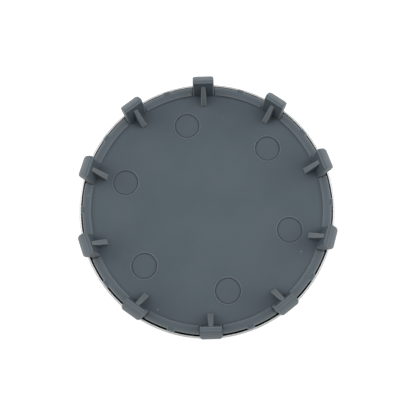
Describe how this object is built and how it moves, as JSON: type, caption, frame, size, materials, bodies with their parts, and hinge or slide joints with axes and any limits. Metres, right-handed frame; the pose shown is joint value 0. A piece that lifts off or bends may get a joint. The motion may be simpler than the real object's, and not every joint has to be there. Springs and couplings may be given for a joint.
{
  "type": "wheel centre cap",
  "caption": "Round wheel centre cap: a bright pressed-metal front cover over a grey moulded body whose ring of gusseted snap clips grips inside the wheel's hub bore.",
  "frame": {"origin": "middle of the flat front face, on the cap's axis", "axes": "+Z along the cap's axis from the front face towards the wheel, clips up; +X through the middle of one clip and of one ejector mark"},
  "size_m": [0.06, 0.06, 0.0124],
  "materials": {
    "moulded_plastic": "satin grey moulding",
    "bright_sheet": "bright pressed sheet"
  },
  "bodies": {
    "root": {"clip_body": "moulded_plastic", "front_cover": "bright_sheet"}
  },
  "joints": []
}
